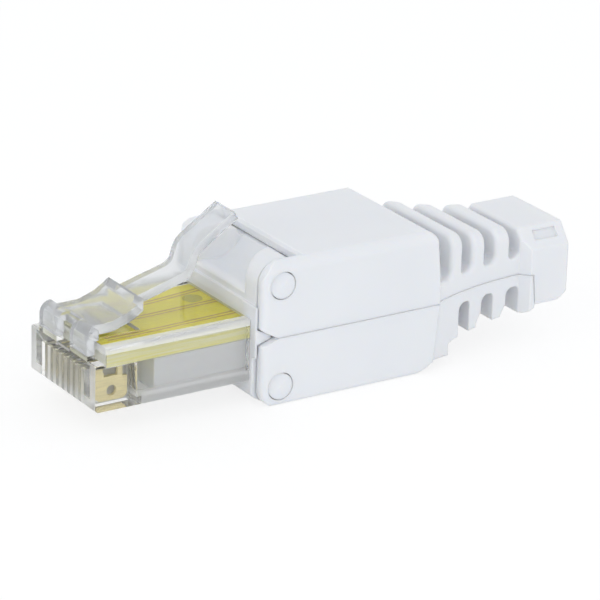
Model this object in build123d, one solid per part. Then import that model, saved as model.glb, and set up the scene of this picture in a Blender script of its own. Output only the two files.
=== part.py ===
from build123d import *
import math
import os

# A field-fitted network plug: a clear eight-way plug nose on a small circuit board, and a
# white carrier whose two lids swing open about side trunnions to reach the wire terminals.
# Millimetres. X runs across, Y from the nose to the cable end, Z up. While it is modelled,
# the middle of the nose's lower front edge is the origin.

# Circuit board
board_middle_z = 4.6
board_thickness = 1.5
board_gap = 0.05
board_setback = 0.5
board_rear_inset = 0.3

# Clear plug moulding
plug_width = 11.68
plug_length = 16.0
nose_height = 4.43
step_y = 1.0
plug_side_wall = 0.89
plug_floor = 0.45
plug_roof = 0.6
plug_cavity_front = 4.6
plug_nose_round = 0.4
plug_edge_round = 0.18

# Gold contacts and their slots
contact_count = 8
contact_pitch = 1.016
contact_thickness = 0.35
contact_side_gap = 0.075
contact_front = 0.75
contact_length = 3.35
contact_bottom = 0.3
contact_step_depth = 1.0
contact_notch_depth = 0.8
contact_prong = 0.95
contact_notch_length = 1.4
contact_rear_prong = 0.5
contact_hole_radius = 0.5
contact_hole_inset = 1.74
contact_hole_rise = 0.93
contact_heel_round = 0.6
contact_toe_round = 0.8
contact_slot_gap = 0.1
contact_slot_web = 0.3

# Spring latch over the nose
latch_leg_inner = 1.2
latch_leg_inset = 1.49
latch_leg_thickness = 0.75
latch_leg_shoulder = 1.15
latch_hinge_y = 0.5
latch_stub_height = 0.47
latch_shoulder_inset = 1.25
latch_lever_half = 1.6
latch_round = 1.1
latch_clearance = 0.2
latch_plate_thickness = 0.95
latch_plate_front = 1.4
latch_bend_y = 3.2
latch_bend_rise = 0.04
latch_ramp_y = 4.9
latch_ramp_rise = 0.62
latch_shoulder_y = 6.4
latch_shoulder_rise = 1.6
latch_bend_round = 1.6
latch_recess_depth = 0.35
latch_recess_length = 5.0
latch_side_gap = 0.2
latch_hinge_gap = 0.02
latch_relief_angle = 10.5
latch_groove_depth = 0.28
lever_thickness = 0.88
lever_bend_round = 1.2
lever_start_y = 5.6
lever_start_rise = 1.09
lever_knee_y = 11.67
lever_knee_rise = 2.75
lever_neck_y = 12.3
lever_neck_rise = 4.78
lever_tip_y = 16.6
lever_tip_rise = 7.66

# White carrier
carrier_side_wall = 1.25
carrier_depth = 5.5
carrier_shelf_depth = 0.9
carrier_ground_gap = 0.15
carrier_sole_front = 1.3
carrier_sole_length = 2.0
carrier_toe_rise = 0.75
carrier_toe_round = 0.8
carrier_sole_round = 0.6
carrier_edge_round = 0.3
carrier_shelf_round = 0.5
carrier_lobe_radius = 2.05
carrier_lobe_setback = 0.3
carrier_shelf_slope = 0.6
carrier_tongue_front = 6.4
carrier_tongue_gap = 0.1
carrier_tongue_bottom = 0.5
carrier_flange_reach = 0.5
carrier_flange_depth = 0.2
carrier_flange_low = 2.4
carrier_flange_high = 7.3
carrier_wedge_length = 1.44
carrier_wedge_half = 0.15
carrier_cheek_gap = 0.05
carrier_cheek_thickness = 1.1
carrier_cheek_half = 1.6
carrier_rear_bar = 0.9
pocket_side_inset = 1.9
pocket_taper = 1.4
pocket_mouth_z = 6.5
pocket_floor_z = 8.3
pocket_lead_in = 0.25
pocket_floor_length = 2.4
pocket_taper_end = 3.5
pocket_round = 0.9
pocket_floor_round = 1.6

# Hinge trunnions
trunnion_radius = 1.25
trunnion_gap = 0.08
trunnion_facet_angle = 16.0
upper_pin_drop = 2.28
lower_pin_rise = 1.86

# Lids
lid_side_gap = 0.23
lid_side_wall = 1.0
lid_plate = 0.9
lid_rise = 6.95
lid_front_setback = 0.3
lower_lid_setback = 0.1
lid_lip_gap = 0.1
lid_edge_round = 1.1
lid_rear_round = 1.2
lid_front_round = 2.07
lid_front_soft = 0.6
lid_lip_soft = 0.25
lid_corner_round = 0.3
lid_inner_round = 0.5
lid_inner_gap = 0.14
lid_flange_gap = 0.1
lid_rear_wall = 1.0
lid_seam_lean = 0.55
seam_z = 4.27
seam_gap = 0.04
upper_corner_rise = 0.96
upper_corner_length = 1.64
lower_corner_drop = 0.69
lower_corner_length = 1.8
lower_edge_round = 0.5
lower_front_round = 1.6
lower_rear_slope = 1.84
lower_rear_rise = 0.98
lower_rear_round = 0.3

# Wire terminals and their blocks
terminal_rows = 4
terminal_width = 1.6
terminal_edge = 0.5
terminal_thickness = 0.5
terminal_slot = 0.4
terminal_drop = 0.48
terminal_root = 1.3
terminal_mouth = 0.7
terminal_horn = 0.52
terminal_round = 0.12
terminal_inset = 2.4
terminal_stagger = 3.0
terminal_gap = 0.05
block_setback = 0.3
block_length = 8.0
block_headroom = 1.07
block_base = 1.2
block_front_round = 0.3
block_rear_round = 0.6
wire_channel_width = 1.3
finger_width = 1.0
finger_length = 1.6
finger_reach = 1.45
finger_gap = 0.1
pusher_height = 0.84
pusher_side_inset = 0.4
pusher_front_inset = 0.6
pusher_rear_inset = 1.2

# Cable boot
cable_radius = 2.75
cable_mouth = 0.45
wire_bay = 5.3
boot_root_inset = 0.18
boot_wall = 1.75
boot_pull_length = 5.5
boot_pull_inset = 0.2
boot_root_drop = 0.85
boot_bend_rise = 1.95
boot_waist_rise = 1.5
boot_edge_round = 1.3
boot_slot_round = 0.75
boot_slot_soft = 0.45
boot_overlap = 0.5
upper_rib_count = 3
first_slot_length = 2.05
rib_length = 1.5
rib_front_round = 0.4
rib_rear_round = 0.25
slot_pitch = 3.1
slot_length = 1.45
collar_slot_length = 1.25
upper_slot_rise = 1.69
lower_slot_count = 3
lower_slot_lead = 1.3
lower_slot_length = 1.5
lower_slot_drop = 1.17
lower_rib_soft = 0.6
lower_rib_soft_rise = 1.1
heel_length = 2.0
heel_rise = 1.05
heel_step_rise = 1.85
heel_step_slope = 0.5
tongue_floor = 1.43
tongue_bend_inset = 3.5
tongue_bend_rise = 0.05
tongue_toe_length = 1.1
tongue_toe_round = 0.3
slit_width = 0.15
slit_depth = 1.3
slit_top_drop = 0.2

# Collar at the boot's end
collar_flare = 0.88
collar_flare_length = 0.85
collar_lap = 0.25
collar_length = 3.95
collar_rise = 1.35
collar_floor = 0.9
collar_chamfer_width = 1.48
collar_chamfer_height = 1.9
collar_round = 0.3
collar_base_round = 0.8
collar_front_round = 0.35
collar_rear_chamfer = 1.1
collar_swing_gap = 0.08
collar_recess_length = 2.6
collar_recess_width = 1.0
collar_recess_depth = 0.3
collar_recess_inset = 0.45
collar_recess_lift = 0.25

# Sizes that follow from the ones above
plug_half = plug_width / 2
cavity_half = plug_half - plug_side_wall
board_half_width = cavity_half - board_gap
board_bottom = board_middle_z - board_thickness / 2
board_top = board_middle_z + board_thickness / 2
board_front = step_y + board_setback
shoulder_height = board_top + board_gap + plug_roof
contact_rear = contact_front + contact_length
contact_slot_half = contact_thickness / 2 + contact_side_gap
contact_slot_top = board_bottom - board_gap - contact_slot_web
contact_top = contact_slot_top - contact_slot_gap
latch_leg_outer = plug_half - latch_leg_inset
latch_plate_half = latch_leg_outer - latch_shoulder_inset
latch_stub_top = nose_height + latch_stub_height
latch_plate_top = shoulder_height + latch_clearance + latch_plate_thickness
latch_plate_under = shoulder_height + latch_clearance
lid_top = board_middle_z + lid_rise
lid_bottom = board_middle_z - lid_rise
lid_inner_top = lid_top - lid_plate
lid_inner_bottom = lid_bottom + lid_plate
carrier_front = plug_length
carrier_rear = carrier_front + carrier_depth
carrier_shelf_y = carrier_rear - carrier_shelf_depth
carrier_bottom = lid_bottom + carrier_ground_gap
carrier_half_width = cavity_half + carrier_side_wall
carrier_shelf_top = lid_inner_top - lid_inner_gap
carrier_shelf_bottom = lid_inner_bottom + lid_inner_gap
lid_inner_half = carrier_half_width + lid_side_gap
lid_half_width = lid_inner_half + lid_side_wall
lid_front = carrier_front + lid_front_setback
lid_lip_y = carrier_shelf_y + lid_lip_gap
pin_y = lid_front + lid_front_round
upper_pin_z = lid_top - upper_pin_drop
lower_pin_z = lid_bottom + lower_pin_rise
block_front = carrier_rear + block_setback
block_rear = block_front + block_length
board_rear = block_rear - board_rear_inset
terminal_span = 2 * (board_half_width - terminal_edge) - terminal_width
terminal_pitch = terminal_span / (terminal_rows - 1)
block_foot = board_top + board_gap / 2
block_top = lid_inner_top - block_headroom
lid_rear_edge = block_rear + wire_bay
lid_rear_seam = lid_rear_edge + lid_seam_lean
upper_seam = seam_z + seam_gap / 2
lower_seam = seam_z - seam_gap / 2
upper_corner_z = seam_z + upper_corner_rise
upper_corner_y = lid_front + upper_corner_length
lower_corner_z = seam_z - lower_corner_drop
lower_corner_y = lid_front + lower_corner_length
upper_slot_floor = seam_z + upper_slot_rise
lower_slot_roof = seam_z - lower_slot_drop
first_rib_y = lid_rear_seam + first_slot_length
last_slot_y = first_rib_y + rib_length + slot_pitch * (upper_rib_count - 1)
collar_front = last_slot_y + collar_slot_length
flare_end = collar_front + collar_flare_length
tongue_end = flare_end + collar_lap
boot_end = tongue_end + collar_length
boot_root_half = lid_half_width - boot_root_inset
boot_waist_half = cable_radius + boot_wall
boot_waist_top = board_middle_z + cable_radius + boot_waist_rise
collar_half = boot_waist_half + collar_flare
collar_top_half = collar_half - collar_chamfer_width
collar_top = board_middle_z + cable_radius + collar_rise
collar_shoulder_z = collar_top - collar_chamfer_height
collar_bottom = board_middle_z - cable_radius - collar_floor
tongue_bottom = board_middle_z - cable_radius - tongue_floor
tongue_reach = math.hypot(tongue_end - pin_y, seam_z - lower_pin_z)
tongue_foot = pin_y + math.sqrt(tongue_reach ** 2 - (collar_bottom - lower_pin_z) ** 2)
heel_bottom = lid_bottom + heel_rise
heel_step_z = lid_bottom + heel_step_rise
heel_step_y = lid_rear_seam + heel_length
hair = 0.001
far = 90.0


def face_of(corners):
    """A closed face: each corner is (first, second) or (first, second, corner radius)."""
    points = [(corner[0], corner[1]) for corner in corners]
    radii = [corner[2] if len(corner) > 2 else 0 for corner in corners]
    return make_face(FilletPolyline(*points, radius=radii, close=True).edges())


def across(corners, half_width):
    """A side outline in Y and Z, extruded evenly to both sides of the middle plane."""
    return extrude(Plane.YZ * face_of(corners), amount=half_width, both=True)


def side_plate(corners, inner, outer):
    """A side outline in Y and Z, extruded from one X to another, with its mirror twin."""
    face = Plane.YZ.offset(inner) * face_of(corners)
    plate = extrude(face, amount=outer - inner, dir=(1, 0, 0))
    return plate + mirror(plate, Plane.YZ)


def along(corners, start, end):
    """A cross-section in X and Z, extruded along Y."""
    face = Plane.XZ.offset(-start) * face_of(corners)
    return extrude(face, amount=end - start, dir=(0, 1, 0))


def block(x, y, z):
    """A plain block between three pairs of limits."""
    size = Box(x[1] - x[0], y[1] - y[0], z[1] - z[0])
    return Pos((x[0] + x[1]) / 2, (y[0] + y[1]) / 2, (z[0] + z[1]) / 2) * size


def cross_pin(y, z, radius, half_length):
    """A round bar along X."""
    return Pos(0, y, z) * Rot(0, 90, 0) * Cylinder(radius, 2 * half_length)


def bent_strip(top, thickness, bend):
    """The outline of a strip of even thickness under a bent top line, its bends rounded."""
    points = [Vector(*point) for point in top]
    steps = [(end - start).normalized() for start, end in zip(points, points[1:])]
    upper = []
    lower = []
    for point, before, after in zip(points, steps[:1] + steps, steps + steps[-1:]):
        normals = Vector(before.Y, -before.X) + Vector(after.Y, -after.X)
        under = point + normals * (thickness / (1 + before.dot(after)))
        turn = before.X * after.Y - before.Y * after.X
        if abs(turn) < hair:
            upper.append((point.X, point.Y))
            lower.append((under.X, under.Y))
        elif turn > 0:
            upper.append((point.X, point.Y, bend))
            lower.append((under.X, under.Y, bend + thickness))
        else:
            upper.append((point.X, point.Y, bend + thickness))
            lower.append((under.X, under.Y, bend))
    return upper + lower[::-1]


def edges_at(shape, y, above):
    """The edges that lie in the plane across Y at this place, over a height."""
    return [
        edge for edge in shape.edges()
        if abs(edge.center().Y - y) < hair and edge.bounding_box().size.Y < hair
        and edge.center().Z > above
    ]


def contact_places():
    """The X of each contact, from one side to the other."""
    first = -contact_pitch * (contact_count - 1) / 2
    return [first + contact_pitch * index for index in range(contact_count)]


def make_plug_shell():
    """The clear nose: stepped front, open contact slots, and a hollow for the board."""
    rear = plug_length - board_gap
    outline = [
        (0, 0, plug_nose_round),
        (0, nose_height, plug_edge_round),
        (step_y, nose_height),
        (step_y, shoulder_height, plug_edge_round),
        (rear, shoulder_height),
        (rear, 0),
    ]
    shell = across(outline, plug_half)
    hollow = (plug_floor, shoulder_height - plug_roof)
    shell -= block((-cavity_half, cavity_half), (plug_cavity_front, far), hollow)
    pocket = (board_bottom - board_gap, board_top + board_gap)
    shell -= block((-cavity_half, cavity_half), (board_front - board_gap, far), pocket)
    recess_half = latch_plate_half + latch_side_gap
    recess = (step_y, step_y + latch_recess_length)
    shell -= block((-recess_half, recess_half), recess, (shoulder_height - latch_recess_depth, far))
    for place in contact_places():
        limits = (place - contact_slot_half, place + contact_slot_half)
        shell -= block(limits, (-far, contact_rear + contact_slot_gap), (-far, contact_slot_top))
    stub = [
        (0, nose_height - plug_edge_round),
        (0, latch_stub_top),
        (latch_leg_thickness, latch_stub_top),
        (latch_leg_thickness, nose_height - plug_edge_round),
    ]
    return shell + side_plate(stub, latch_leg_inner, latch_leg_outer)


def make_contact(place):
    """One stamped contact blade: toe, notch, rear prong and a locating hole."""
    notch_front = contact_front + contact_prong
    notch_rear = notch_front + contact_notch_length
    prong_rear = notch_rear + contact_rear_prong
    outline = [
        (contact_front, contact_bottom, contact_toe_round),
        (contact_rear, contact_bottom, contact_heel_round),
        (contact_rear, contact_top - contact_step_depth),
        (prong_rear, contact_top - contact_step_depth),
        (prong_rear, contact_top),
        (notch_rear, contact_top),
        (notch_rear, contact_top - contact_notch_depth),
        (notch_front, contact_top - contact_notch_depth),
        (notch_front, contact_top),
        (contact_front, contact_top, plug_edge_round),
    ]
    blade = across(outline, contact_thickness / 2)
    hole_y = contact_front + contact_hole_inset
    hole_z = contact_bottom + contact_hole_rise
    blade -= cross_pin(hole_y, hole_z, contact_hole_radius, contact_thickness)
    return Pos(place, 0, 0) * blade


def make_latch():
    """The latch: two legs on the nose, a broad plate with shoulders, and the thumb lever."""
    relief = (latch_leg_thickness - latch_hinge_y) * math.tan(math.radians(latch_relief_angle))
    foot = latch_stub_top + latch_hinge_gap
    leg = [
        (0, foot),
        (0, latch_plate_top, latch_round),
        (latch_leg_shoulder, latch_plate_top),
        (latch_leg_shoulder, latch_plate_under),
        (latch_leg_thickness, latch_plate_under),
        (latch_leg_thickness, foot + relief),
        (latch_hinge_y, foot),
    ]
    web = [
        (latch_leg_shoulder - plug_edge_round, latch_plate_under),
        (latch_leg_shoulder - plug_edge_round, latch_plate_top),
        (latch_plate_front + plug_edge_round, latch_plate_top),
        (latch_plate_front + plug_edge_round, latch_plate_under),
    ]
    plate_line = [
        (latch_plate_front, latch_plate_top),
        (latch_bend_y, latch_plate_top + latch_bend_rise),
        (latch_ramp_y, latch_plate_top + latch_ramp_rise),
        (latch_shoulder_y, latch_plate_top + latch_shoulder_rise),
    ]
    lever_line = [
        (lever_start_y, latch_plate_top + lever_start_rise),
        (lever_knee_y, latch_plate_top + lever_knee_rise),
        (lever_neck_y, latch_plate_top + lever_neck_rise),
        (lever_tip_y, latch_plate_top + lever_tip_rise),
    ]
    latch = side_plate(leg, latch_leg_inner, latch_leg_outer)
    latch += across(web, latch_plate_half)
    plate = across(
        bent_strip(plate_line, latch_plate_thickness, latch_bend_round), latch_plate_half
    )
    latch += plate & block((-far, far), (0, latch_shoulder_y), (0, far))
    latch += across(bent_strip(lever_line, lever_thickness, lever_bend_round), latch_lever_half)
    groove = block(
        (-latch_leg_inner, latch_leg_inner),
        (-far, latch_plate_front),
        (latch_plate_top - latch_groove_depth, far),
    )
    return latch - groove


def make_board():
    """The circuit board that carries the contacts at one end and the terminals at the other."""
    limits = (-board_half_width, board_half_width)
    return block(limits, (board_front, board_rear), (board_bottom, board_top))


def trunnion(z):
    """Both pins of one hinge, each with a slanted lead-in for snapping the lid on."""
    length = lid_half_width - carrier_half_width + board_gap
    pin = Pos(carrier_half_width - board_gap, pin_y, z) * Rot(0, 90, 0) * Cylinder(
        trunnion_radius, length, align=(Align.CENTER, Align.CENTER, Align.MIN)
    )
    lean = math.radians(trunnion_facet_angle)
    tilt = math.sin(lean) / math.sqrt(2)
    facet = Plane(origin=(lid_half_width, pin_y, z), z_dir=(math.cos(lean), -tilt, tilt))
    pin = split(pin, bisect_by=facet, keep=Keep.BOTTOM)
    return pin + mirror(pin, Plane.YZ)


def thumb_pocket():
    """The hollow under the latch lever: a funnel in plan, dished in side view."""
    mouth_half = carrier_half_width - pocket_side_inset
    rear_half = mouth_half - pocket_taper
    taper_end = carrier_front + pocket_taper_end
    mouth_y = carrier_front + pocket_round / 2
    plan = [
        (-mouth_half, carrier_front - far),
        (mouth_half, carrier_front - far),
        (mouth_half, mouth_y, pocket_round),
        (rear_half, taper_end, pocket_round),
        (rear_half, carrier_front + far),
        (-rear_half, carrier_front + far),
        (-rear_half, taper_end, pocket_round),
        (-mouth_half, mouth_y, pocket_round),
    ]
    funnel = extrude(face_of(plan), amount=far, dir=(0, 0, 1))
    dish = [
        (carrier_front - far, pocket_mouth_z),
        (carrier_front, pocket_mouth_z),
        (carrier_front + pocket_lead_in, pocket_floor_z, pocket_round),
        (carrier_front + pocket_floor_length, pocket_floor_z, pocket_floor_round),
        (carrier_shelf_y, carrier_shelf_top, pocket_round),
        (carrier_front + far, carrier_shelf_top),
        (carrier_front + far, far),
        (carrier_front - far, far),
    ]
    return funnel & across(dish, far)


def make_carrier():
    """The white carrier: front block with lobes, trunnions, board passage and tongue."""
    lobe_front = carrier_front + carrier_lobe_setback
    lobe_top = upper_pin_z + carrier_lobe_radius
    sole_front = carrier_front + carrier_sole_front
    slope_top = carrier_shelf_y - carrier_shelf_slope
    body = [
        (carrier_front, carrier_bottom + carrier_toe_rise, carrier_toe_round),
        (sole_front, carrier_bottom, carrier_sole_round),
        (sole_front + carrier_sole_length, carrier_bottom, carrier_sole_round),
        (carrier_shelf_y, carrier_shelf_bottom, carrier_edge_round),
        (carrier_rear, carrier_shelf_bottom),
        (carrier_rear, carrier_shelf_top),
        (slope_top, carrier_shelf_top, carrier_edge_round),
        (slope_top - carrier_edge_round, lobe_top, carrier_shelf_round),
        (lobe_front, lobe_top, carrier_lobe_radius),
        (lobe_front, carrier_flange_high),
        (carrier_front, carrier_flange_high),
    ]
    carrier = across(body, carrier_half_width)
    carrier -= thumb_pocket()
    flange_rear = carrier_front + carrier_flange_depth
    wedge_tip = flange_rear + carrier_wedge_length
    flange = [
        (carrier_front, carrier_flange_low),
        (carrier_front, carrier_flange_high),
        (flange_rear, carrier_flange_high),
        (flange_rear, upper_corner_z - lid_flange_gap),
        (wedge_tip, seam_z + carrier_wedge_half),
        (wedge_tip, seam_z - carrier_wedge_half),
        (flange_rear, lower_corner_z + lid_flange_gap),
        (flange_rear, carrier_flange_low),
    ]
    flange_half = carrier_half_width + carrier_flange_reach
    carrier += side_plate(flange, cavity_half, flange_half)
    heart = carrier_rear - carrier_shelf_depth
    tongue = [
        (carrier_tongue_front, carrier_tongue_bottom, carrier_edge_round),
        (carrier_tongue_front, board_bottom - board_gap),
        (heart, board_bottom - board_gap),
        (heart, carrier_tongue_bottom),
    ]
    carrier += across(tongue, cavity_half - carrier_tongue_gap)
    bar_start = board_rear + board_gap
    bar_end = bar_start + carrier_rear_bar
    cheek = [
        (heart, board_middle_z - carrier_cheek_half),
        (heart, board_middle_z + carrier_cheek_half),
        (bar_end, board_middle_z + carrier_cheek_half, carrier_sole_round),
        (bar_end, board_middle_z - carrier_cheek_half, carrier_sole_round),
    ]
    cheek_inner = cavity_half + carrier_cheek_gap
    carrier += side_plate(cheek, cheek_inner, cheek_inner + carrier_cheek_thickness)
    bar_half = cheek_inner + carrier_cheek_gap
    carrier += block((-bar_half, bar_half), (bar_start, bar_end), (board_bottom, board_top))
    carrier += trunnion(upper_pin_z)
    carrier += trunnion(lower_pin_z)
    passage = (board_bottom - board_gap, board_top + board_gap)
    return carrier - block((-cavity_half, cavity_half), (0, bar_start), passage)


def terminal_spots():
    """The X and Y of the four terminals of one side, every second one set back."""
    first = -terminal_pitch * (terminal_rows - 1) / 2
    spots = []
    for index in range(terminal_rows):
        y = block_front + terminal_inset + terminal_stagger * (index % 2)
        spots.append((first + terminal_pitch * index, y))
    return spots


def make_terminal(x, y):
    """One insulation-piercing fork, standing on the board."""
    top = block_top - terminal_drop
    half = terminal_width / 2
    jaw = terminal_slot / 2
    root = block_foot + terminal_root
    fork = [
        (-half, block_foot),
        (-half, top, terminal_round),
        (-terminal_horn, top),
        (-jaw, top - terminal_mouth),
        (-jaw, root),
        (jaw, root),
        (jaw, top - terminal_mouth),
        (terminal_horn, top),
        (half, top, terminal_round),
        (half, block_foot),
    ]
    thickness = terminal_thickness / 2
    return Pos(x, 0, 0) * along(fork, y - thickness, y + thickness)


def make_terminal_block():
    """The block round the upper terminals, with one wire channel over each fork."""
    body = [
        (block_front, block_foot),
        (block_front, block_top, block_front_round),
        (block_rear, block_top, block_rear_round),
        (block_rear, block_foot),
    ]
    shape = across(body, board_half_width)
    channel = wire_channel_width / 2
    slot = terminal_width / 2 + terminal_gap
    depth = terminal_thickness / 2 + terminal_gap
    for x, y in terminal_spots():
        shape -= block((x - channel, x + channel), (0, far), (block_foot + block_base, far))
        shape -= block((x - slot, x + slot), (y - depth, y + depth), (-far, far))
    return shape


def pushers():
    """The rail and fingers under the upper lid's plate that press the wires down."""
    rail_front = block_front + pusher_front_inset
    rail_rear = block_rear - pusher_rear_inset
    root = lid_inner_top + lid_plate / 2
    rail = [
        (rail_front, root),
        (rail_front, lid_inner_top - pusher_height, block_front_round),
        (rail_rear, lid_inner_top - pusher_height, block_front_round),
        (rail_rear, root),
    ]
    shape = across(rail, board_half_width - pusher_side_inset)
    finger = finger_width / 2
    offset = terminal_thickness / 2 + finger_length / 2 + finger_gap
    for x, y in terminal_spots():
        for middle in (y - offset, y + offset):
            limits = (middle - finger_length / 2, middle + finger_length / 2)
            shape += block((x - finger, x + finger), limits, (lid_inner_top - finger_reach, root))
    return shape


def boot_plan():
    """The boot seen from above: sides that sweep in to a waist and flare to the collar."""
    start = lid_rear_edge - boot_overlap
    pull = (boot_waist_half + boot_pull_inset, lid_rear_edge + boot_pull_length)
    right = [
        Line((0, start), (boot_root_half, start)),
        Line((boot_root_half, start), (boot_root_half, lid_rear_edge)),
        Bezier((boot_root_half, lid_rear_edge), pull, (boot_waist_half, collar_front)),
        Line((boot_waist_half, collar_front), (collar_half, flare_end)),
        Line((collar_half, flare_end), (collar_half, boot_end)),
        Line((collar_half, boot_end), (0, boot_end)),
    ]
    left = [mirror(edge, Plane.YZ) for edge in right]
    return make_face(right + left)


def boot_column(low, high):
    """The boot's plan carried from one height to another."""
    return Pos(0, 0, low) * extrude(boot_plan(), amount=high - low, dir=(0, 0, 1))


def cable_channel():
    """The round way for the cable, from the lids' inside to the boot's flared mouth."""
    start = lid_rear_edge - 2 * lid_rear_wall
    channel = Pos(0, start, board_middle_z) * Rot(-90, 0, 0) * Cylinder(
        cable_radius, boot_end - start, align=(Align.CENTER, Align.CENTER, Align.MIN)
    )
    mouth = Pos(0, boot_end, board_middle_z) * Rot(90, 0, 0) * Cone(
        cable_radius + cable_mouth, cable_radius, cable_mouth,
        align=(Align.CENTER, Align.CENTER, Align.MIN),
    )
    return channel + mouth


def make_boot_ribs():
    """The boot's upper half up to the collar, its ribs soft all round the slots' mouths."""
    start = lid_rear_edge - boot_overlap
    bend_y = last_slot_y - slot_pitch
    top = [
        (start, upper_seam),
        (start, lid_top - boot_root_drop),
        (bend_y, board_middle_z + cable_radius + boot_bend_rise),
        (collar_front, boot_waist_top),
        (boot_end, boot_waist_top),
        (boot_end, upper_seam),
    ]
    boot = boot_column(upper_seam, far) & across(top, far)
    long_edges = [
        edge for edge in boot.edges()
        if edge.center().Z > boot_waist_top - hair and abs(edge.center().X) > collar_top_half
        and edge.center().Y < collar_front
    ]
    boot = fillet(long_edges, boot_edge_round)
    boot = boot & block((-far, far), (0, collar_front), (0, far))
    first_end = first_rib_y + rib_length
    rib_ends = [first_end + slot_pitch * index for index in range(upper_rib_count)]
    rib_fronts = [first_rib_y] + [end + slot_length for end in rib_ends[:-1]]
    for slot in zip([lid_rear_seam] + rib_ends, rib_fronts + [collar_front]):
        boot -= across(upper_slot(*slot), far)
    walls = upper_slot_floor + boot_slot_round + hair
    for places, radius in ((rib_fronts, rib_front_round), (rib_ends, rib_rear_round)):
        mouths = [edge for place in places for edge in edges_at(boot, place, walls)]
        boot = fillet(mouths, radius)
    return boot


def upper_slot(start, end):
    """The side outline of one slot between the upper ribs."""
    return [
        (start, upper_slot_floor, boot_slot_soft),
        (end, upper_slot_floor, boot_slot_round),
        (end, far),
        (start, far),
    ]


def make_collar():
    """The collar round the cable's way in, with a notched recess on each upper chamfer."""
    section = [
        (-collar_half, collar_bottom, collar_base_round),
        (-collar_half, collar_shoulder_z, collar_round),
        (-collar_top_half, collar_top, collar_round),
        (collar_top_half, collar_top, collar_round),
        (collar_half, collar_shoulder_z, collar_round),
        (collar_half, collar_bottom, collar_base_round),
    ]
    below = collar_bottom - collar_rear_chamfer
    side = [
        (collar_front - far, upper_seam),
        (collar_front - far, far),
        (boot_end + far, far),
        (boot_end + far, collar_bottom + collar_rear_chamfer + far),
        (boot_end - 2 * collar_rear_chamfer, below),
        (tongue_foot + collar_swing_gap, below),
        (tongue_foot + collar_swing_gap, collar_bottom),
        (tongue_end + collar_swing_gap, upper_seam),
    ]
    collar = boot_column(-far, far) & along(section, collar_front, boot_end)
    collar = collar & across(side, far)
    collar = fillet(edges_at(collar, collar_front, collar_shoulder_z - hair), collar_front_round)
    slope = math.atan2(collar_chamfer_height, collar_chamfer_width)
    middle_x = collar_half - collar_chamfer_width / 2 - collar_recess_lift * math.cos(slope)
    middle_z = collar_top - collar_chamfer_height / 2 + collar_recess_lift * math.sin(slope)
    middle_y = tongue_end + collar_recess_inset + collar_recess_length / 2
    recess = Box(collar_recess_width, collar_recess_length, 2 * collar_recess_depth)
    recess = Pos(middle_x, middle_y, middle_z) * Rot(0, math.degrees(slope), 0) * recess
    collar -= recess
    return collar - mirror(recess, Plane.YZ)


def lid_plan(front):
    """A lid's outline seen from above, its front corners rounded."""
    plan = [
        (-lid_half_width - hair, front - hair, lid_front_soft),
        (lid_half_width + hair, front - hair, lid_front_soft),
        (lid_half_width + hair, boot_end),
        (-lid_half_width - hair, boot_end),
    ]
    return Pos(0, 0, -far) * extrude(face_of(plan), amount=2 * far, dir=(0, 0, 1))


def make_upper_lid():
    """The upper lid with its half of the boot and the collar, one moulding."""
    section = [
        (-lid_half_width, upper_seam),
        (-lid_half_width, lid_top, lid_edge_round),
        (lid_half_width, lid_top, lid_edge_round),
        (lid_half_width, upper_seam),
    ]
    side = [
        (lid_front, upper_corner_z, lid_corner_round),
        (lid_front, lid_top, lid_front_round),
        (lid_rear_edge, lid_top, lid_rear_round),
        (lid_rear_seam, upper_slot_floor),
        (lid_rear_seam, upper_seam),
        (upper_corner_y, upper_seam, lid_corner_round),
    ]
    lid = along(section, lid_front, lid_rear_seam) & across(side, far)
    lid = lid & lid_plan(lid_front)
    lid += make_boot_ribs()
    lid += make_collar()
    inner_rear = lid_rear_edge - lid_rear_wall
    inner = [
        (0, 0),
        (0, far),
        (lid_lip_y + lid_lip_soft, far),
        (lid_lip_y + lid_lip_soft, lid_top),
        (lid_lip_y, lid_top - lid_lip_soft),
        (lid_lip_y, lid_inner_top),
        (inner_rear, lid_inner_top, lid_inner_round),
        (inner_rear, 0),
    ]
    lid -= across(inner, lid_inner_half)
    lid += pushers()
    lid -= cross_pin(pin_y, upper_pin_z, trunnion_radius + trunnion_gap, far)
    return lid - cable_channel()


def make_lower_boot():
    """The lower half of the boot: heel, ribs and the end of the tongue."""
    start = lid_rear_seam + seam_gap / 2
    outline = [
        (start - lid_seam_lean, lower_seam),
        (start - lid_seam_lean, heel_bottom),
        (heel_step_y, heel_bottom - lower_rear_round),
        (heel_step_y, heel_step_z),
        (heel_step_y + heel_step_slope, heel_step_z + heel_step_slope / 2),
        (tongue_end - tongue_bend_inset, tongue_bottom - tongue_bend_rise),
        (tongue_foot - tongue_toe_length, tongue_bottom),
        (tongue_foot, collar_bottom, tongue_toe_round),
        (tongue_end, lower_seam),
    ]
    boot = boot_column(-far, lower_seam) & across(outline, far)
    for index in range(lower_slot_count):
        start = first_rib_y + lower_slot_lead + slot_pitch * index
        end = start + lower_slot_length
        soft = 0 if index == 0 else lower_rib_soft
        slot = [
            (start, lower_slot_roof, boot_slot_round),
            (start, tongue_bottom + lower_rib_soft_rise),
            (start - soft, tongue_bottom),
            (start - soft, -far),
            (end, -far),
            (end, lower_slot_roof, boot_slot_soft),
        ]
        boot -= across(slot, far)
    return boot


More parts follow.
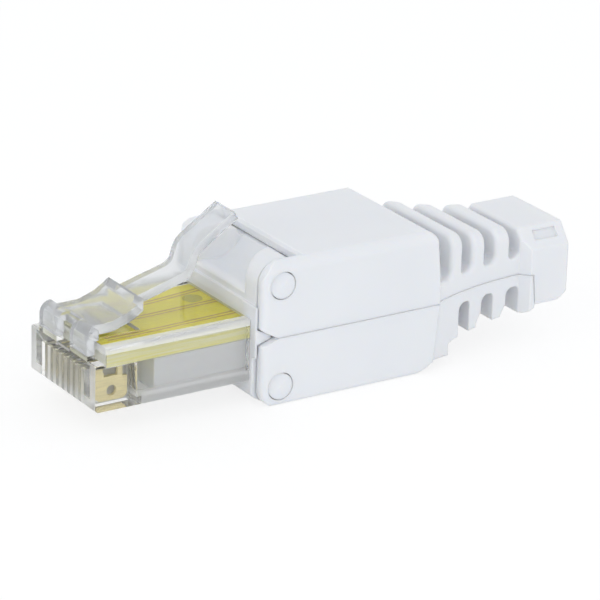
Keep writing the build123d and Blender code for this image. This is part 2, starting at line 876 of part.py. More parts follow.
def make_lower_lid():
    """The lower lid with its half of the boot, one moulding."""
    section = [
        (-lid_half_width, lower_seam),
        (-lid_half_width, lid_bottom, lower_edge_round),
        (lid_half_width, lid_bottom, lower_edge_round),
        (lid_half_width, lower_seam),
    ]
    front = lid_front + lower_lid_setback
    rear_corner_z = lid_bottom + lower_rear_rise
    side = [
        (front, lower_corner_z, lid_corner_round),
        (front, lid_bottom, lower_front_round),
        (lid_rear_edge - lower_rear_slope, lid_bottom, lower_rear_round),
        (lid_rear_edge, rear_corner_z, lower_rear_round / 2),
        (lid_rear_seam, lower_seam),
        (lower_corner_y, lower_seam, lid_corner_round),
    ]
    lid = along(section, front, lid_rear_seam) & across(side, far)
    lid = lid & lid_plan(front)
    lid += make_lower_boot()
    slit = [
        (lid_rear_seam, lower_seam - slit_top_drop),
        (lid_rear_edge + slit_width, rear_corner_z),
        (lid_rear_edge + slit_width, -far),
        (lid_rear_edge, -far),
        (lid_rear_edge, rear_corner_z),
    ]
    cut = across(slit, far)
    core_half = boot_root_half - slit_depth
    cut -= block((-core_half, core_half), (0, far), (heel_bottom + slit_depth, far))
    lid -= cut
    inner_rear = lid_rear_edge - lid_rear_wall
    inner = [
        (0, far),
        (0, -far),
        (lid_lip_y, -far),
        (lid_lip_y, lid_inner_bottom),
        (inner_rear - lower_rear_slope, lid_inner_bottom, lid_inner_round),
        (inner_rear, rear_corner_z + lid_rear_wall),
        (inner_rear, far),
    ]
    lid -= across(inner, lid_inner_half)
    lid += below_board(pushers())
    lid -= cross_pin(pin_y, lower_pin_z, trunnion_radius + trunnion_gap, far)
    return lid - cable_channel()


def below_board(shape):
    """The same piece on the underside of the board."""
    return mirror(shape, Plane.XY.offset(board_middle_z))


def build():
    """Every piece by its node name, still about the modelling origin."""
    pieces = {
        "plug_shell": make_plug_shell(),
        "latch_lever": make_latch(),
        "circuit_board": make_board(),
        "carrier_frame": make_carrier(),
        "upper_terminal_block": make_terminal_block(),
        "lower_terminal_block": below_board(make_terminal_block()),
        "upper_lid": make_upper_lid(),
        "lower_lid": make_lower_lid(),
    }
    for index, place in enumerate(contact_places()):
        pieces[f"contact_{index + 1}"] = make_contact(place)
    for index, (x, y) in enumerate(terminal_spots()):
        upper = make_terminal(x, y)
        pieces[f"idc_terminal_{index + 1}"] = upper
        pieces[f"idc_terminal_{index + 1 + terminal_rows}"] = below_board(upper)
    return pieces


# The finished part stands on the lower lid, with its origin under the middle of its box.
rest = Pos(0, -boot_end / 2, -lid_bottom)
os.makedirs("parts", exist_ok=True)
for name, shape in build().items():
    export_step(rest * shape, f"parts/{name}.step")
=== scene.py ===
import math

import bpy
from mathutils import Matrix, Vector


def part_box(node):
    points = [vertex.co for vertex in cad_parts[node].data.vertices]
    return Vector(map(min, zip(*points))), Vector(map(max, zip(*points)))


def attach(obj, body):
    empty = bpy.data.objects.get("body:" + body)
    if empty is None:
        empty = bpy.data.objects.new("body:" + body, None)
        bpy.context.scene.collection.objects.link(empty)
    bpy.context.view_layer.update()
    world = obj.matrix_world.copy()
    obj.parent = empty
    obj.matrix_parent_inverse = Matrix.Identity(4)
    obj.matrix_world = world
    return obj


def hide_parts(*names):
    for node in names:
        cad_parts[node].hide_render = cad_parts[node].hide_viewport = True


bl_info = {
    "name": "Field-Fitted Network Plug",
    "version": (1, 0, 0),
    "blender": (4, 5, 0),
    "location": "3D View > Sidebar > Network Plug",
    "description": "Dresses the packed network plug: mouldings, board, contacts and studio",
    "category": "Object",
}

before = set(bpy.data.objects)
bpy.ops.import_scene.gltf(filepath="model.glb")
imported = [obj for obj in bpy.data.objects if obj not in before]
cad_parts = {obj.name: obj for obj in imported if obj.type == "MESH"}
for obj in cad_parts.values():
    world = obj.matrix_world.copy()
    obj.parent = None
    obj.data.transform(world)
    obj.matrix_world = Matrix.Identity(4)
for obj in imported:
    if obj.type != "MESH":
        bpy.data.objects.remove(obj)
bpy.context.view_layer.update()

MM = 0.001
WHITE_NODES = ("carrier_frame", "upper_lid", "lower_lid")
BLOCK_NODES = ("upper_terminal_block", "lower_terminal_block")

# Optics of the two plastics. The clear one is set low, so that few rays stay trapped in it.
WHITE_IOR = 1.49
CLEAR_IOR = 1.31
WHITE_SCATTER = (0.9 * MM, 0.7 * MM, 0.5 * MM)

# Cosines between a rounded normal and its face, for the painted edge highlight: flat above the first, all
# edge at the second.
FLAT_COSINE = 0.995
EDGE_COSINE = 0.90
EDGE_SAMPLES = 6

# Merging and rounding of the clear mouldings.
MERGE_DISTANCE = 0.0002 * MM
FLAT_ANGLE = math.radians(0.2)
SMOOTH_ANGLE = math.radians(28.0)
SHARP_ANGLE = math.radians(35.0)
ROUNDED_SMOOTH_ANGLE = math.radians(40.0)
CLEAR_EDGE_SEGMENTS = 2

# Material slots of the clear nose after its first one, and where their faces begin; the milky faces and
# the dull bottom strip are painted bright bands of light reflected inside the plastic.
DULL_SLOT, PAINTED_BAND_SLOT, WINDOW_SLOT = 1, 2, 3
STRIP_HEIGHT = 1.1 * MM
STRIP_START = 0.6 * MM
BLADE_REACH = 0.3 * MM
WALL_MARGIN = 0.1 * MM

# Shares of a face's normal along an axis: facing along it, or only leaning towards it.
FACING = 0.9
LEANING = 0.4

# The round pad on the board, beside the latch.
PAD_X = -1.64 * MM
PAD_Y = -11.49 * MM
PAD_SIDES = 48
PAD_CROWN_STEPS = 2

# The studio.
LAMP_AIM = Vector((0, 0, 6 * MM))
NEAREST_SEEN = 0.01
FARTHEST_SEEN = 10.0
PURE_WHITE = (1.0, 1.0, 1.0, 1.0)


def length_setting(name, about, millimetres):
    """A length property whose default is given in millimetres."""
    return bpy.props.FloatProperty(
        name=name, description=about, default=millimetres * MM,
        unit="LENGTH", subtype="DISTANCE", precision=6,
    )


def colour_setting(name, about, colour):
    """A colour property."""
    return bpy.props.FloatVectorProperty(
        name=name, description=about, default=colour, subtype="COLOR", min=0.0, max=1.0,
    )


def angle_setting(name, about, degrees):
    """An angle property whose default is given in degrees."""
    return bpy.props.FloatProperty(
        name=name, description=about, default=math.radians(degrees),
        subtype="ANGLE", unit="ROTATION",
    )


def place_setting(name, about, place):
    """A point in metres."""
    return bpy.props.FloatVectorProperty(
        name=name, description=about, default=place, size=3,
        subtype="TRANSLATION", unit="LENGTH",
    )


def power_setting(name, about, watts):
    """A lamp's power."""
    return bpy.props.FloatProperty(name=name, description=about, default=watts, unit="POWER")


class FinishSettings(bpy.types.PropertyGroup):
    """Colours and surface grain of the plug's own materials."""
    white: colour_setting("White", "Colour of the white mouldings", (0.840, 0.852, 0.875))
    white_shade: colour_setting("White Shade", "Duller tint of the white", (0.822, 0.836, 0.862))
    # Painted highlight: a paler white laid on the rounded edges of the white mouldings.
    painted_edge_highlight: colour_setting("Painted Edge Highlight", "Paler white of the edges", (0.98, 0.985, 0.99))
    clear: colour_setting("Clear", "Tint of the clear nose", (0.93, 0.935, 0.93))
    window: colour_setting("Window", "Tint of the nose's top over the board", (1.0, 0.99, 0.70))
    latch: colour_setting("Latch", "Tint of the clear latch", (0.88, 0.895, 0.915))
    mask: colour_setting("Solder Mask", "Yellow coat on the circuit board", (1.0, 0.91, 0.0))
    mask_dark: colour_setting("Mask Shade", "Darker yellow over bare laminate", (0.93, 0.80, 0.0))
    core: colour_setting("Board Core", "Pale laminate at the board's edge", (1.0, 0.98, 0.70))
    core_shade: colour_setting(
        "Core Shade", "Yellower streaks in the board's edge", (0.95, 0.90, 0.30)
    )
    pad: colour_setting("Pad", "Olive pad under the mask", (0.62, 0.56, 0.01))
    copper: colour_setting("Copper", "Tracks under the mask", (0.60, 0.32, 0.04))
    gold: colour_setting("Gold", "Plating of the contact blades", (1.0, 0.88, 0.50))
    tin: colour_setting("Tin", "Plating of the wire terminals", (0.72, 0.73, 0.74))
    block: colour_setting("Block", "Terminal blocks round the forks", (0.78, 0.80, 0.83))
    edge_radius: length_setting("Edge Softness", "Radius of a moulded edge", 0.26)
    clear_edge: length_setting("Clear Edge", "Radius of an edge of the clear pieces", 0.07)
    grain: length_setting("Grain", "Size of the moulded surface's grain", 0.09)


class TrackSettings(bpy.types.PropertyGroup):
    """Sizes of the copper tracks and the pad on the board's upper face."""
    width: length_setting("Track Width", "Width of one copper track", 0.15)
    height: length_setting("Track Height", "How far a track stands up", 0.02)
    gap: length_setting("Pair Gap", "Clear strip between the two tracks of a pair", 0.34)
    pad_radius: length_setting("Pad Radius", "Radius of the round pad beside the latch", 0.95)


class StageSettings(bpy.types.PropertyGroup):
    """Camera, lamps and floor of the studio."""
    camera_place: place_setting(
        "Camera Place", "Where the camera stands", (0.26699, -0.17547, 0.13079)
    )
    azimuth: angle_setting("Azimuth", "Camera's turn round the plug", 56.809)
    elevation: angle_setting("Elevation", "Camera's height above the horizon", 21.288)
    roll: angle_setting("Roll", "Camera's tilt about its own axis", 1.761)
    lens: bpy.props.FloatProperty(
        name="Lens", description="Focal length", default=222.27, min=1.0, unit="CAMERA",
    )
    sensor: bpy.props.FloatProperty(
        name="Sensor", description="Sensor width", default=36.0, min=1.0, unit="CAMERA",
    )
    sky: colour_setting("Sky", "Colour of the light from all round", (0.955, 0.975, 1.0))
    world_light: bpy.props.FloatProperty(
        name="World Light", description="Strength of the light from all round", default=0.86,
    )
    key_place: place_setting("Key Place", "Where the side lamp stands", (0.40, -0.08, 0.16))
    key_power: power_setting("Key Power", "Power of the large side lamp", 0.20)
    front_place: place_setting("Front Place", "Where the front lamp stands", (0.08, -0.40, 0.18))
    front_power: power_setting("Front Power", "Power of the lamp before the nose", 0.20)
    lamp_size: length_setting("Lamp Size", "Edge of each square lamp", 300.0)
    floor_glow: bpy.props.FloatProperty(
        name="Floor Glow", description="White of the floor as the camera sees it", default=1.04,
    )
    floor_share: bpy.props.FloatProperty(
        name="Floor Share", description="Share of the floor's glow, the rest takes the shadow",
        default=0.75, subtype="FACTOR", min=0.0, max=1.0,
    )
    floor_size: length_setting("Floor Size", "Edge of the square floor", 4000.0)


def deselect():
    """Nothing selected, in object mode."""
    if bpy.context.mode != "OBJECT":
        bpy.ops.object.mode_set(mode="OBJECT")
    bpy.ops.object.select_all(action="DESELECT")


def choose(piece):
    """Only this piece selected and active."""
    deselect()
    piece.select_set(True)
    bpy.context.view_layer.objects.active = piece


def settle(piece, name, body):
    """A finished piece: named, its place in its mesh, riding on a body."""
    piece.name = name
    piece.data.name = name
    choose(piece)
    bpy.ops.object.transform_apply(location=True, rotation=True, scale=True)
    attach(piece, body)
    deselect()


def wear(piece, material):
    """The piece's only material."""
    if piece.material_slots:
        for holder in piece.material_slots:
            holder.material = material
    else:
        piece.data.materials.append(material)


def new_material(name):
    """A fresh node material with its tree and shader."""
    material = bpy.data.materials.new(name)
    material.use_nodes = True
    tree = material.node_tree
    return material, tree, tree.nodes["Principled BSDF"]


def object_coords(tree):
    """Coordinates that lie still on the piece."""
    return tree.nodes.new("ShaderNodeTexCoord").outputs["Object"]


def noise(tree, vector, size, detail=3.0, roughness=0.5):
    """Noise whose features are about this size."""
    texture = tree.nodes.new("ShaderNodeTexNoise")
    texture.inputs["Scale"].default_value = 1.0 / size
    texture.inputs["Detail"].default_value = detail
    texture.inputs["Roughness"].default_value = roughness
    tree.links.new(vector, texture.inputs["Vector"])
    return texture.outputs["Fac"]


def stretched(tree, vector, scale):
    """The coordinates scaled per axis, for grain that runs one way."""
    mapping = tree.nodes.new("ShaderNodeMapping")
    mapping.inputs["Scale"].default_value = scale
    tree.links.new(vector, mapping.inputs["Vector"])
    return mapping.outputs["Vector"]


def ramp(tree, factor, low, high, low_at, high_at):
    """A two-stop colour ramp."""
    node = tree.nodes.new("ShaderNodeValToRGB")
    node.color_ramp.elements[0].position = low_at
    node.color_ramp.elements[0].color = (*low, 1.0)
    node.color_ramp.elements[1].position = high_at
    node.color_ramp.elements[1].color = (*high, 1.0)
    tree.links.new(factor, node.inputs["Fac"])
    return node.outputs["Color"]


def roughness_range(tree, factor, smooth, rough, low_at=0.3):
    """A roughness that wanders between two levels."""
    return ramp(tree, factor, (smooth,) * 3, (rough,) * 3, low_at=low_at, high_at=0.7)


def darker(colour, share):
    """A colour brought down to this share of its light."""
    return tuple(share * part for part in colour)


def bump(tree, height, distance, strength, normal=None):
    """A bump node over a height, on top of another normal if one is given."""
    node = tree.nodes.new("ShaderNodeBump")
    node.inputs["Distance"].default_value = distance
    node.inputs["Strength"].default_value = strength
    tree.links.new(height, node.inputs["Height"])
    if normal is not None:
        tree.links.new(normal, node.inputs["Normal"])
    return node.outputs["Normal"]


def soft_edge(tree, radius):
    """The normal of a moulded edge, rounded by this radius."""
    node = tree.nodes.new("ShaderNodeBevel")
    node.samples = EDGE_SAMPLES
    node.inputs["Radius"].default_value = radius
    return node.outputs["Normal"]


def colour_mix(tree, factor):
    """A mix of two colours by this factor."""
    mix = tree.nodes.new("ShaderNodeMix")
    mix.data_type = "RGBA"
    tree.links.new(factor, mix.inputs["Factor"])
    return mix


def paint_edge_highlight(tree, edge, colour, highlight_colour):
    """A colour that goes over to a painted highlight colour where the rounded normal leaves the face."""
    geometry = tree.nodes.new("ShaderNodeNewGeometry")
    along = tree.nodes.new("ShaderNodeVectorMath")
    along.operation = "DOT_PRODUCT"
    tree.links.new(edge, along.inputs[0])
    tree.links.new(geometry.outputs["Normal"], along.inputs[1])
    share = tree.nodes.new("ShaderNodeMapRange")
    share.inputs["From Min"].default_value = FLAT_COSINE
    share.inputs["From Max"].default_value = EDGE_COSINE
    tree.links.new(along.outputs["Value"], share.inputs["Value"])
    mix = colour_mix(tree, share.outputs["Result"])
    tree.links.new(colour, mix.inputs["A"])
    mix.inputs["B"].default_value = (*highlight_colour, 1.0)
    return mix.outputs["Result"]


def white_moulding(finish):
    """Satin white plastic: faint cool mottling, fine grain, a painted highlight on the soft edges."""
    material, tree, shader = new_material("white_moulding")
    coords = object_coords(tree)
    mottle = noise(tree, coords, size=9.0 * MM, detail=2.0)
    colour = ramp(tree, mottle, finish.white_shade, finish.white, low_at=0.35, high_at=0.65)
    edge = soft_edge(tree, finish.edge_radius)
    # Painted highlight: the colour goes paler where the rounded normal leaves the face.
    tree.links.new(paint_edge_highlight(tree, edge, colour, finish.painted_edge_highlight), shader.inputs["Base Color"])
    gloss = noise(tree, coords, size=2.5 * MM, detail=4.0, roughness=0.6)
    satin = roughness_range(tree, gloss, smooth=0.34, rough=0.46)
    tree.links.new(satin, shader.inputs["Roughness"])
    grain = noise(tree, coords, size=finish.grain, detail=2.0)
    relief = bump(tree, grain, distance=0.004 * MM, strength=0.35, normal=edge)
    tree.links.new(relief, shader.inputs["Normal"])
    shader.inputs["IOR"].default_value = WHITE_IOR
    shader.inputs["Subsurface Weight"].default_value = 0.3
    shader.inputs["Subsurface Radius"].default_value = WHITE_SCATTER
    shader.inputs["Subsurface Scale"].default_value = 1.0
    return material


def clear_moulding(name, tint, passing, smooth, rough):
    """Milky clear plastic; passing is the share of light that goes through it."""
    material, tree, shader = new_material(name)
    coords = stretched(tree, object_coords(tree), scale=(1.0, 0.25, 1.0))
    flow = noise(tree, coords, size=1.6 * MM, detail=2.0)
    polish = roughness_range(tree, flow, smooth, rough, low_at=0.35)
    tree.links.new(polish, shader.inputs["Roughness"])
    shader.inputs["Base Color"].default_value = (*tint, 1.0)
    shader.inputs["Transmission Weight"].default_value = passing
    shader.inputs["IOR"].default_value = CLEAR_IOR
    relief = bump(tree, flow, distance=0.01 * MM, strength=0.15)
    tree.links.new(relief, shader.inputs["Normal"])
    return material


def solder_mask(finish):
    """Yellow mask over laminate: pale sawn edges, weave showing through the faces."""
    material, tree, shader = new_material("solder_mask")
    coords = object_coords(tree)
    weave = noise(tree, stretched(tree, coords, scale=(6.0, 1.0, 1.0)), size=1.2 * MM)
    face = ramp(tree, weave, finish.mask_dark, finish.mask, low_at=0.25, high_at=0.6)
    sawn_coords = stretched(tree, coords, scale=(1.0, 0.15, 8.0))
    fibres = noise(tree, sawn_coords, size=0.9 * MM, detail=4.0)
    sawn = ramp(tree, fibres, finish.core_shade, finish.core, low_at=0.3, high_at=0.6)
    split = tree.nodes.new("ShaderNodeSeparateXYZ")
    geometry = tree.nodes.new("ShaderNodeNewGeometry")
    tree.links.new(geometry.outputs["Normal"], split.inputs["Vector"])
    upright = tree.nodes.new("ShaderNodeMath")
    upright.operation = "ABSOLUTE"
    tree.links.new(split.outputs["Z"], upright.inputs[0])
    mix = colour_mix(tree, upright.outputs["Value"])
    tree.links.new(sawn, mix.inputs["A"])
    tree.links.new(face, mix.inputs["B"])
    tree.links.new(mix.outputs["Result"], shader.inputs["Base Color"])
    shader.inputs["Roughness"].default_value = 0.42
    shader.inputs["Specular IOR Level"].default_value = 0.1
    relief = bump(tree, weave, distance=0.01 * MM, strength=0.3)
    tree.links.new(relief, shader.inputs["Normal"])
    return material


def metal(name, colour, smooth, rough, brushed, metallic=1.0):
    """Plated metal with a rolled grain; less metallic where clear plastic or mask covers it."""
    material, tree, shader = new_material(name)
    grain = noise(tree, stretched(tree, object_coords(tree), brushed), size=0.35 * MM)
    tree.links.new(roughness_range(tree, grain, smooth, rough), shader.inputs["Roughness"])
    plating = ramp(tree, grain, darker(colour, share=0.82), colour, low_at=0.2, high_at=0.6)
    tree.links.new(plating, shader.inputs["Base Color"])
    shader.inputs["Metallic"].default_value = metallic
    edge = soft_edge(tree, radius=0.05 * MM)
    relief = bump(tree, grain, distance=0.003 * MM, strength=0.3, normal=edge)
    tree.links.new(relief, shader.inputs["Normal"])
    return material


def block_moulding(finish):
    """Matt filled plastic of the terminal blocks."""
    material, tree, shader = new_material("block_moulding")
    coords = object_coords(tree)
    mottle = noise(tree, coords, size=1.4 * MM)
    shade = darker(finish.block, share=0.9)
    colour = ramp(tree, mottle, shade, finish.block, low_at=0.3, high_at=0.7)
    tree.links.new(colour, shader.inputs["Base Color"])
    shader.inputs["Roughness"].default_value = 0.55
    edge = soft_edge(tree, radius=0.1 * MM)
    grain = noise(tree, coords, size=finish.grain, detail=2.0)
    relief = bump(tree, grain, distance=0.006 * MM, strength=0.4, normal=edge)
    tree.links.new(relief, shader.inputs["Normal"])
    return material


def merged_copy(node):
    """A copy of a CAD node with its triangles joined and smooth where they bend gently."""
    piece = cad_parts[node].copy()
    piece.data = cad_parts[node].data.copy()
    piece.parent = None
    bpy.context.scene.collection.objects.link(piece)
    for key in list(piece.keys()):
        del piece[key]
    choose(piece)
    bpy.ops.object.mode_set(mode="EDIT")
    bpy.ops.mesh.select_all(action="SELECT")
    bpy.ops.mesh.remove_doubles(threshold=MERGE_DISTANCE)
    bpy.ops.mesh.dissolve_limited(angle_limit=FLAT_ANGLE)
    bpy.ops.object.mode_set(mode="OBJECT")
    bpy.ops.object.shade_smooth_by_angle(angle=SMOOTH_ANGLE)
    return piece


def cut_faces(piece, cuts):
    """The piece's faces divided by planes, each given by a point and a normal."""
    choose(piece)
    bpy.ops.object.mode_set(mode="EDIT")
    for place, normal in cuts:
        bpy.ops.mesh.select_all(action="SELECT")
        bpy.ops.mesh.bisect(plane_co=place, plane_no=normal)
    bpy.ops.object.mode_set(mode="OBJECT")


def round_edges(piece, radius):
    """Round every sharp edge of a merged piece."""
    choose(piece)
    bevel = piece.modifiers.new("edges", "BEVEL")
    bevel.width = radius
    bevel.segments = CLEAR_EDGE_SEGMENTS
    bevel.limit_method = "ANGLE"
    bevel.angle_limit = SHARP_ANGLE
    bevel.use_clamp_overlap = True
    bpy.ops.object.modifier_apply(modifier="edges")
    bpy.ops.object.shade_smooth_by_angle(angle=ROUNDED_SMOOTH_ANGLE)


class PLUG_OT_white_mouldings(bpy.types.Operator):
    """Finish the carrier and the two lids with their boot halves"""
    bl_idname = "plug.white_mouldings"
    bl_label = "White Mouldings"

    def execute(self, context):
        plastic = white_moulding(context.scene.plug_finish)
        for node in WHITE_NODES:
            wear(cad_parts[node], plastic)
        return {"FINISHED"}


class PLUG_OT_clear_mouldings(bpy.types.Operator):
    """Make the clear nose with its duller and tinted faces, milky faces that paint bright bands of light,
    and its clear latch
    """
    bl_idname = "plug.clear_mouldings"
    bl_label = "Clear Mouldings"

    def execute(self, context):
        finish = context.scene.plug_finish
        board_low, board_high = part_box("circuit_board")
        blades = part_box("contact_8")[1]
        strip_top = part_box("plug_shell")[0].z + STRIP_HEIGHT
        shell = self.moulded(finish, "plug_shell", "root", [
            ((board_high.x, 0, 0), (1, 0, 0)),
            ((board_low.x, 0, 0), (1, 0, 0)),
            ((0, 0, board_high.z), (0, 0, 1)),
            ((0, 0, strip_top), (0, 0, 1)),
            ((0, blades.y + STRIP_START, 0), (0, 1, 0)),
        ])
        wear(shell, clear_moulding(
            "clear_nose", finish.clear, passing=0.985, smooth=0.03, rough=0.07
        ))
        for material in (
            clear_moulding("dull_slots", finish.clear, passing=0.70, smooth=0.35, rough=0.5),
            # Painted light: these milky walls stand in for bright bands of light reflected inside the
            # clear plastic.
            clear_moulding("milky_walls_painted_bands", finish.clear, passing=0.35, smooth=0.2, rough=0.3),
            clear_moulding("clear_window", finish.window, passing=0.99, smooth=0.03, rough=0.07),
        ):
            shell.data.materials.append(material)
        self.milk(shell, blades, board_low, board_high, strip_top)
        latch = self.moulded(finish, "latch_lever", "latch", [])
        wear(latch, clear_moulding(
            "clear_latch", finish.latch, passing=0.76, smooth=0.10, rough=0.18
        ))
        return {"FINISHED"}

    def moulded(self, finish, node, body, cuts):
        """A copy of a clear node, its faces cut and its edges rounded, standing for it."""
        piece = merged_copy(node)
        cut_faces(piece, cuts)
        round_edges(piece, finish.clear_edge)
        settle(piece, node + "_clear", body)
        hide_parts(node)
        return piece

    def milk(self, shell, blades, board_low, board_high, strip_top):
        """Dull faces round the blades and along the bottom, milky ones beside the board, a tinted top;
        the milky faces and the dull bottom strip paint bright bands of internally reflected light.
        """
        for face in shell.data.polygons:
            centre, normal = face.center, face.normal
            across = abs(normal.x) > FACING
            along = abs(normal.y) > LEANING
            outside = abs(centre.x) > blades.x
            behind = centre.y > blades.y - BLADE_REACH
            in_front = centre.y < blades.y + BLADE_REACH
            by_blades = in_front and centre.z < blades.z + BLADE_REACH
            slot_side = by_blades and across and not outside
            slot_end = by_blades and along and (outside or behind)
            # Painted light: the dull bottom strip stands in for a bright band of internally reflected
            # light.
            bottom_painted_band = centre.z < strip_top and centre.y > blades.y + BLADE_REACH
            if slot_side or slot_end or bottom_painted_band or (along and centre.z > board_low.z):
                face.material_index = DULL_SLOT
            if centre.z <= board_high.z:
                continue
            if along or abs(centre.x) > board_high.x + WALL_MARGIN:
                face.material_index = PAINTED_BAND_SLOT
            elif normal.z > FACING:
                face.material_index = WINDOW_SLOT


class PLUG_OT_contacts(bpy.types.Operator):
    """Plate the contact blades with gold"""
    bl_idname = "plug.contacts"
    bl_label = "Contacts"

    def execute(self, context):
        colour = tuple(context.scene.plug_finish.gold)
        gold = metal(
            "contact_gold", colour, smooth=0.28, rough=0.4,
            brushed=(1.0, 0.3, 2.0), metallic=0.1,
        )
        for node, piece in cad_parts.items():
            if node.startswith("contact_"):
                wear(piece, gold)
        return {"FINISHED"}


class PLUG_OT_terminals(bpy.types.Operator):
    """Finish the terminal blocks and their tin-plated forks"""
    bl_idname = "plug.terminals"
    bl_label = "Wire Terminals"

    def execute(self, context):
        finish = context.scene.plug_finish
        tin = metal(
            "terminal_tin", tuple(finish.tin), smooth=0.25, rough=0.42,
            brushed=(2.0, 1.0, 0.3),
        )
        plastic = block_moulding(finish)
        for node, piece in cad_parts.items():
            if node.startswith("idc_terminal_"):
                wear(piece, tin)
        for node in BLOCK_NODES:
            wear(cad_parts[node], plastic)
        return {"FINISHED"}


def select_end(strip, y, reach):
    """Only the strip's edge at this y selected, in edit mode and ready to extrude."""
    bpy.ops.object.mode_set(mode="OBJECT")
    for vertex in strip.data.vertices:
        vertex.select = abs(vertex.co.y - y) < reach
    for edge in strip.data.edges:
        edge.select = all(strip.data.vertices[index].select for index in edge.vertices)
    for face in strip.data.polygons:
        face.select = False
    bpy.ops.object.mode_set(mode="EDIT")
    bpy.ops.mesh.select_mode(type="EDGE")


def thicken(height):
    """The flat mesh in edit mode drawn up by this height, its upper face left selected."""
    bpy.ops.mesh.select_all(action="SELECT")
    bpy.ops.mesh.extrude_region_move(TRANSFORM_OT_translate={"value": (0, 0, height)})


def face_outwards(piece):
    """The piece with its faces turned outwards, back in object mode."""
    bpy.ops.mesh.select_all(action="SELECT")
    bpy.ops.mesh.normals_make_consistent(inside=False)
    bpy.ops.object.mode_set(mode="OBJECT")
    return piece


def copper_strip(points, width, height):
    """A flat track through these points: a plane whose far edge is extruded leg by leg."""
    first, second = points[0], points[1]
    bpy.ops.mesh.primitive_plane_add(size=1.0, location=(0, 0, 0))
    strip = bpy.context.object
    bpy.ops.object.mode_set(mode="EDIT")
    bpy.ops.transform.resize(value=(width, second.y - first.y, 1.0))
    bpy.ops.transform.translate(value=(first + second) / 2)
    for start, end in zip(points[1:], points[2:]):
        select_end(strip, start.y, reach=width / 100)
        bpy.ops.mesh.extrude_region_move(TRANSFORM_OT_translate={"value": end - start})
    thicken(height)
    return face_outwards(strip)


def round_pad(centre, radius, height):
    """A round pad: a disc drawn up from the board, its top crowned by two insets."""
    bpy.ops.mesh.primitive_circle_add(
        vertices=PAD_SIDES, radius=radius, fill_type="NGON", location=centre
    )
    pad = bpy.context.object
    step_width = radius / 5
    step_rise = height / 4
    bpy.ops.object.mode_set(mode="EDIT")
    thicken(height)
    for _ in range(PAD_CROWN_STEPS):
        bpy.ops.mesh.inset(thickness=step_width)
        bpy.ops.transform.translate(value=(0, 0, step_rise))
    return face_outwards(pad)


def track_routes(low, high):
    """Middle lines of the track pairs on the board's upper face."""
    def at(x, y):
        """A point this many millimetres across, and back from the board's front edge."""
        return Vector((x * MM, low.y + y * MM, high.z))
    return (
        (at(3.4, 1.0), at(3.4, 4.9), at(3.0, 15.1), at(3.0, 19.0)),
        (at(0.1, 1.0), at(0.1, 7.4), at(-0.2, 14.7), at(-0.2, 19.0)),
        (at(-2.6, 1.0), at(-2.6, 9.0), at(-3.3, 14.3), at(-3.3, 19.0)),
    )


class PLUG_OT_board(bpy.types.Operator):
    """Coat the board in yellow mask and lay its copper tracks and its round pad"""
    bl_idname = "plug.board"
    bl_label = "Circuit Board"

    def execute(self, context):
        finish = context.scene.plug_finish
        sizes = context.scene.plug_tracks
        wear(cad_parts["circuit_board"], solder_mask(finish))
        copper = metal(
            "masked_copper", tuple(finish.copper), smooth=0.35, rough=0.5,
            brushed=(1.0, 0.2, 1.0), metallic=0.35,
        )
        low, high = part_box("circuit_board")
        for number, route in enumerate(track_routes(low, high), start=1):
            for hand, side in (("left", -1), ("right", 1)):
                shift = Vector((side * (sizes.width + sizes.gap) / 2, 0, 0))
                points = [point + shift for point in route]
                strip = copper_strip(points, sizes.width, sizes.height)
                wear(strip, copper)
                settle(strip, f"track_{number}_{hand}", "root")
        pad = round_pad(Vector((PAD_X, PAD_Y, high.z)), sizes.pad_radius, sizes.height)
        olive = metal(
            "masked_pad", tuple(finish.pad), smooth=0.4, rough=0.55,
            brushed=(1.0, 1.0, 1.0), metallic=0.0,
        )
        wear(pad, olive)
        settle(pad, "round_pad", "root")
        return {"FINISHED"}


def rotation(axis, angle):
    """A turn about one axis."""
    return Matrix.Rotation(angle, 3, axis)


def seen_ray(tree):
    """One for rays of the camera, of reflections and through clear pieces."""
    path = tree.nodes.new("ShaderNodeLightPath")
    seen = path.outputs["Is Camera Ray"]
    for kind in ("Is Glossy Ray", "Is Transmission Ray"):
        either = tree.nodes.new("ShaderNodeMath")
        either.operation = "MAXIMUM"
        tree.links.new(seen, either.inputs[0])
        tree.links.new(path.outputs[kind], either.inputs[1])
        seen = either.outputs["Value"]
    return seen


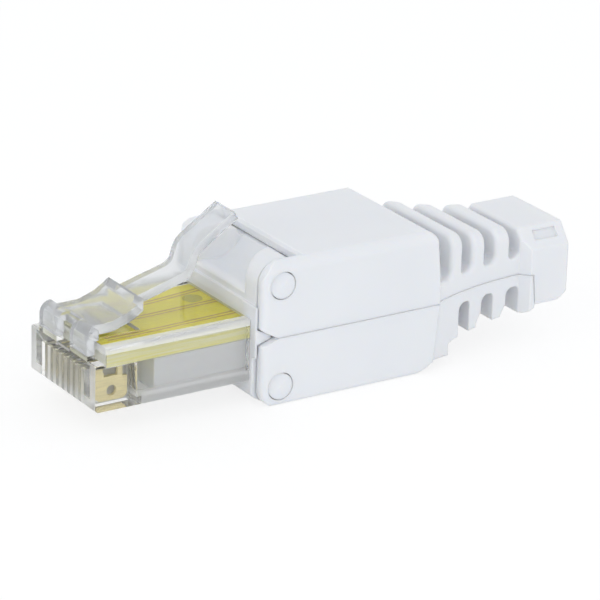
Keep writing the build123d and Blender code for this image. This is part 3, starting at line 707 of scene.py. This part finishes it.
class PLUG_OT_stage(bpy.types.Operator):
    """Set the camera, the lamps, the white world and the floor"""
    bl_idname = "plug.stage"
    bl_label = "Studio"

    def execute(self, context):
        stage = context.scene.plug_stage
        deselect()
        self.camera(context, stage)
        self.lamp(context, "key", stage.key_place, stage.key_power, stage.lamp_size)
        self.lamp(context, "front", stage.front_place, stage.front_power, stage.lamp_size)
        self.world(context, stage)
        self.floor(stage)
        context.scene.view_settings.view_transform = "Standard"
        return {"FINISHED"}

    def camera(self, context, stage):
        """The camera at the photograph's angle."""
        camera_data = bpy.data.cameras.new("camera")
        camera_data.lens = stage.lens
        camera_data.sensor_width = stage.sensor
        camera_data.clip_start = NEAREST_SEEN
        camera_data.clip_end = FARTHEST_SEEN
        camera = bpy.data.objects.new("camera", camera_data)
        context.scene.collection.objects.link(camera)
        from_top = math.pi / 2 - stage.elevation
        turn = rotation("Z", stage.azimuth) @ rotation("X", from_top) @ rotation("Z", stage.roll)
        camera.rotation_mode = "XYZ"
        camera.rotation_euler = turn.to_euler("XYZ")
        camera.location = stage.camera_place
        context.scene.camera = camera

    def lamp(self, context, name, place, power, size):
        """A broad square lamp that faces the plug."""
        lamp_data = bpy.data.lights.new(name, "AREA")
        lamp_data.shape = "SQUARE"
        lamp_data.size = size
        lamp_data.energy = power
        lamp = bpy.data.objects.new(name, lamp_data)
        lamp.location = place
        lamp.rotation_euler = (Vector(place) - LAMP_AIM).to_track_quat("Z", "Y").to_euler()
        context.scene.collection.objects.link(lamp)

    def world(self, context, stage):
        """White to the camera, to reflections and through clear plastic; softer as light."""
        world = bpy.data.worlds.new("studio_white")
        context.scene.world = world
        world.use_nodes = True
        tree = world.node_tree
        light = tree.nodes["Background"]
        light.inputs["Color"].default_value = (*stage.sky, 1.0)
        light.inputs["Strength"].default_value = stage.world_light
        white = tree.nodes.new("ShaderNodeBackground")
        white.inputs["Color"].default_value = PURE_WHITE
        mix = tree.nodes.new("ShaderNodeMixShader")
        tree.links.new(seen_ray(tree), mix.inputs["Fac"])
        tree.links.new(light.outputs["Background"], mix.inputs[1])
        tree.links.new(white.outputs["Background"], mix.inputs[2])
        tree.links.new(mix.outputs["Shader"], tree.nodes["World Output"].inputs["Surface"])

    def floor(self, stage):
        """A plain pale floor that keeps a faint shadow."""
        bpy.ops.mesh.primitive_plane_add(size=stage.floor_size, location=(0, 0, 0))
        floor = bpy.context.object
        floor.name = "floor"
        material, tree, shader = new_material("floor_white")
        shader.inputs["Base Color"].default_value = PURE_WHITE
        shader.inputs["Roughness"].default_value = 0.9
        shader.inputs["Specular IOR Level"].default_value = 0.0
        glow = tree.nodes.new("ShaderNodeEmission")
        glow.inputs["Color"].default_value = PURE_WHITE
        glow.inputs["Strength"].default_value = stage.floor_glow
        part = tree.nodes.new("ShaderNodeMath")
        part.operation = "MULTIPLY"
        part.inputs[1].default_value = stage.floor_share
        tree.links.new(seen_ray(tree), part.inputs[0])
        mix = tree.nodes.new("ShaderNodeMixShader")
        tree.links.new(part.outputs["Value"], mix.inputs["Fac"])
        tree.links.new(shader.outputs["BSDF"], mix.inputs[1])
        tree.links.new(glow.outputs["Emission"], mix.inputs[2])
        tree.links.new(mix.outputs["Shader"], tree.nodes["Material Output"].inputs["Surface"])
        floor.data.materials.append(material)
        deselect()


class PLUG_PT_sidebar(bpy.types.Panel):
    """Lists the plug's operators and settings"""
    bl_idname = "PLUG_PT_sidebar"
    bl_label = "Network Plug"
    bl_space_type = "VIEW_3D"
    bl_region_type = "UI"
    bl_category = "Network Plug"

    def draw(self, context):
        scene = context.scene
        column = self.layout.column()
        for operator in OPERATORS:
            column.operator(operator.bl_idname)
        for group in (scene.plug_finish, scene.plug_tracks, scene.plug_stage):
            for name in group.__annotations__:
                column.prop(group, name)


OPERATORS = (
    PLUG_OT_white_mouldings, PLUG_OT_clear_mouldings, PLUG_OT_contacts,
    PLUG_OT_terminals, PLUG_OT_board, PLUG_OT_stage,
)
GROUPS = (FinishSettings, TrackSettings, StageSettings)


def register():
    """Make the settings, operators and panel known, and hang the settings on the scene."""
    for group in GROUPS:
        bpy.utils.register_class(group)
    for operator in OPERATORS:
        bpy.utils.register_class(operator)
    bpy.utils.register_class(PLUG_PT_sidebar)
    bpy.types.Scene.plug_finish = bpy.props.PointerProperty(type=FinishSettings)
    bpy.types.Scene.plug_tracks = bpy.props.PointerProperty(type=TrackSettings)
    bpy.types.Scene.plug_stage = bpy.props.PointerProperty(type=StageSettings)


def unregister():
    """Take away all that register made known, in the opposite order."""
    del bpy.types.Scene.plug_stage
    del bpy.types.Scene.plug_tracks
    del bpy.types.Scene.plug_finish
    bpy.utils.unregister_class(PLUG_PT_sidebar)
    for operator in reversed(OPERATORS):
        bpy.utils.unregister_class(operator)
    for group in reversed(GROUPS):
        bpy.utils.unregister_class(group)


def main():
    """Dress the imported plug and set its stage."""
    register()
    bpy.ops.plug.white_mouldings()
    bpy.ops.plug.clear_mouldings()
    bpy.ops.plug.contacts()
    bpy.ops.plug.terminals()
    bpy.ops.plug.board()
    bpy.ops.plug.stage()


if __name__ == "__main__":
    main()
